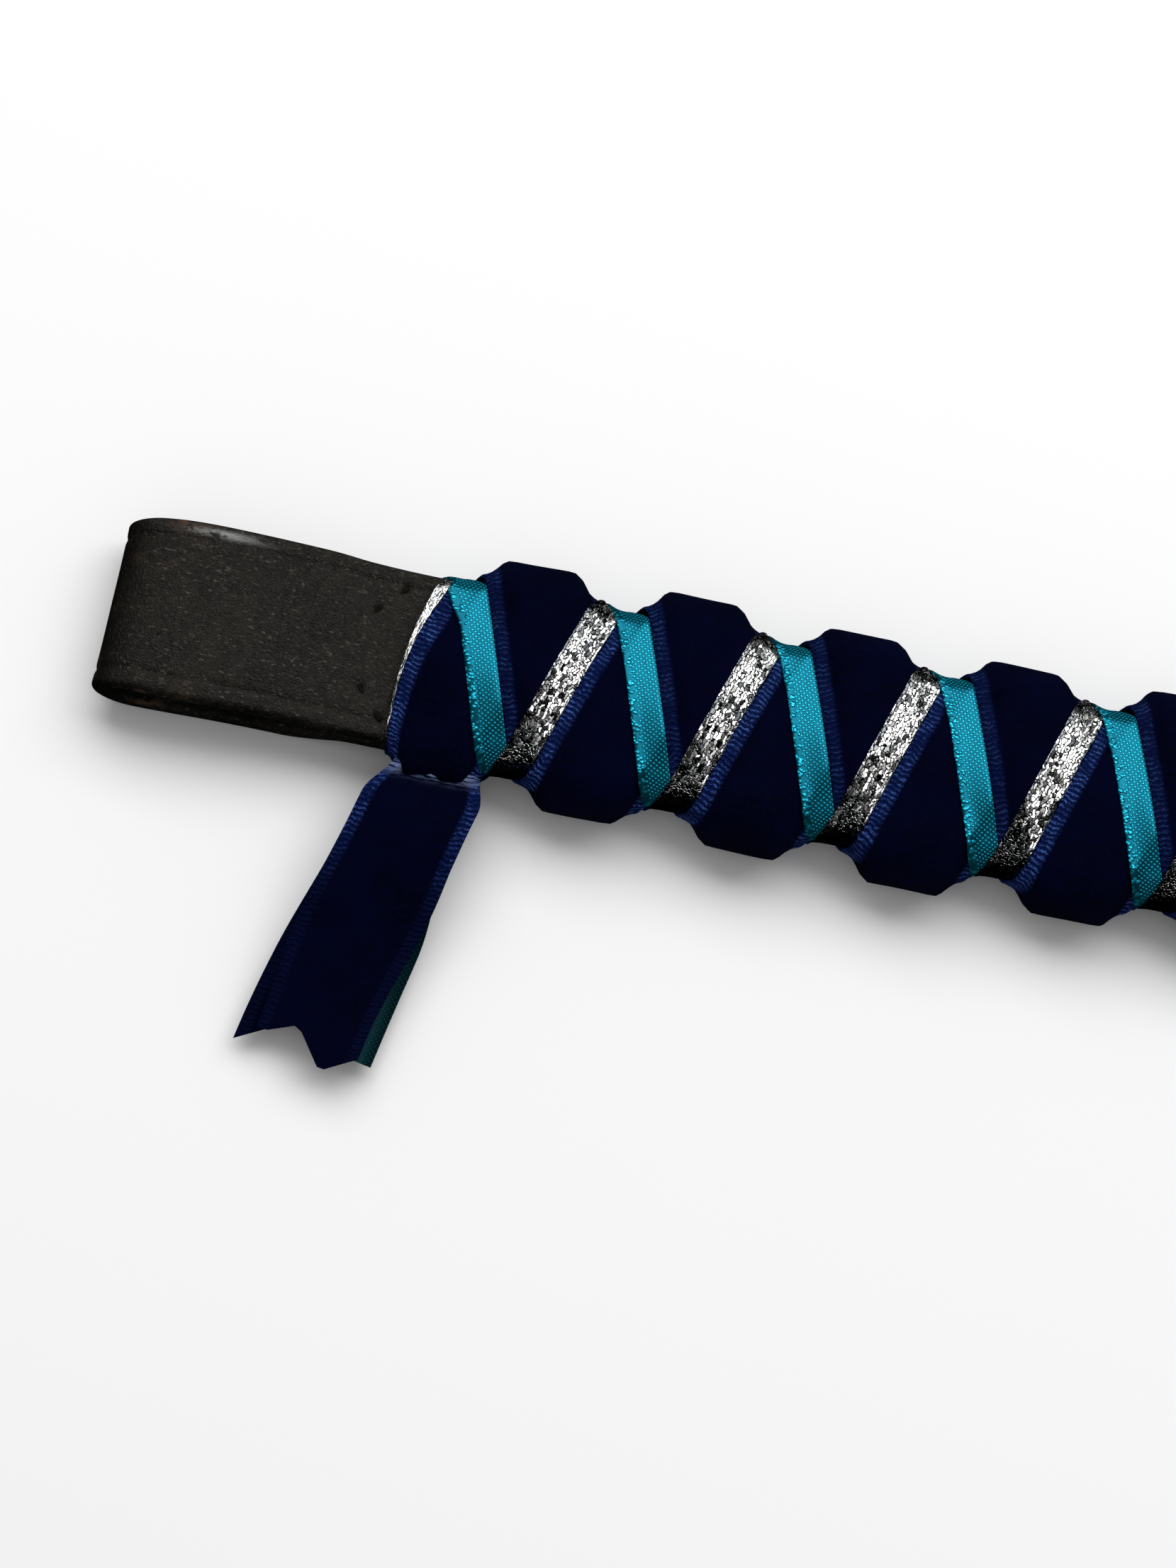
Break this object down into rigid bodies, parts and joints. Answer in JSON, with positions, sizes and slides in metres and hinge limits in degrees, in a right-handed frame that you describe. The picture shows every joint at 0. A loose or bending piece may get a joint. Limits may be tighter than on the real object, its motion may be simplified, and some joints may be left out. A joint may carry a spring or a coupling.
{
  "type": "ribbon browband",
  "caption": "Show browband: leather strap folded into a flat loop at each end and wound with velvet, lame and satin ribbon, with hanging ribbon tails.",
  "frame": {"origin": "on the surface that the band lies on, under the middle of the object's box", "axes": "+X along the band, +Y across it towards its upper edge in wear, +Z out of its front face"},
  "size_m": [0.406, 0.0668, 0.0108],
  "materials": {
    "strap_leather": "waxed, fine pebbled grain",
    "navy_velvet": "short cut pile",
    "teal_satin": "satin weave",
    "silver_lame": "metallic weave",
    "waxed_thread": "waxed"
  },
  "bodies": {
    "band": {"leather_strap": "strap_leather", "left_loop_stitches": "waxed_thread", "right_loop_stitches": "waxed_thread", "velvet_ribbon_a": "navy_velvet", "lame_ribbon": "silver_lame", "velvet_ribbon_b": "navy_velvet", "satin_ribbon": "teal_satin", "left_tack_stitches": "waxed_thread", "right_tack_stitches": "waxed_thread"},
    "left_tail": {"left_tail_velvet_front": "navy_velvet", "left_tail_velvet_back": "navy_velvet", "left_tail_satin": "teal_satin"},
    "right_tail": {"right_tail_velvet_front": "navy_velvet", "right_tail_velvet_back": "navy_velvet", "right_tail_lame": "silver_lame"}
  },
  "joints": [
    {"name": "left_tail_swing", "type": "hinge", "parent": "band", "child": "left_tail", "pos_m": [-0.15974, 0.00555, 0.00705], "axis": [-1, 0, 0], "range_deg": [0, 90]},
    {"name": "right_tail_swing", "type": "hinge", "parent": "band", "child": "right_tail", "pos_m": [0.15974, 0.00555, 0.00705], "axis": [-1, 0, 0], "range_deg": [0, 90]}
  ]
}
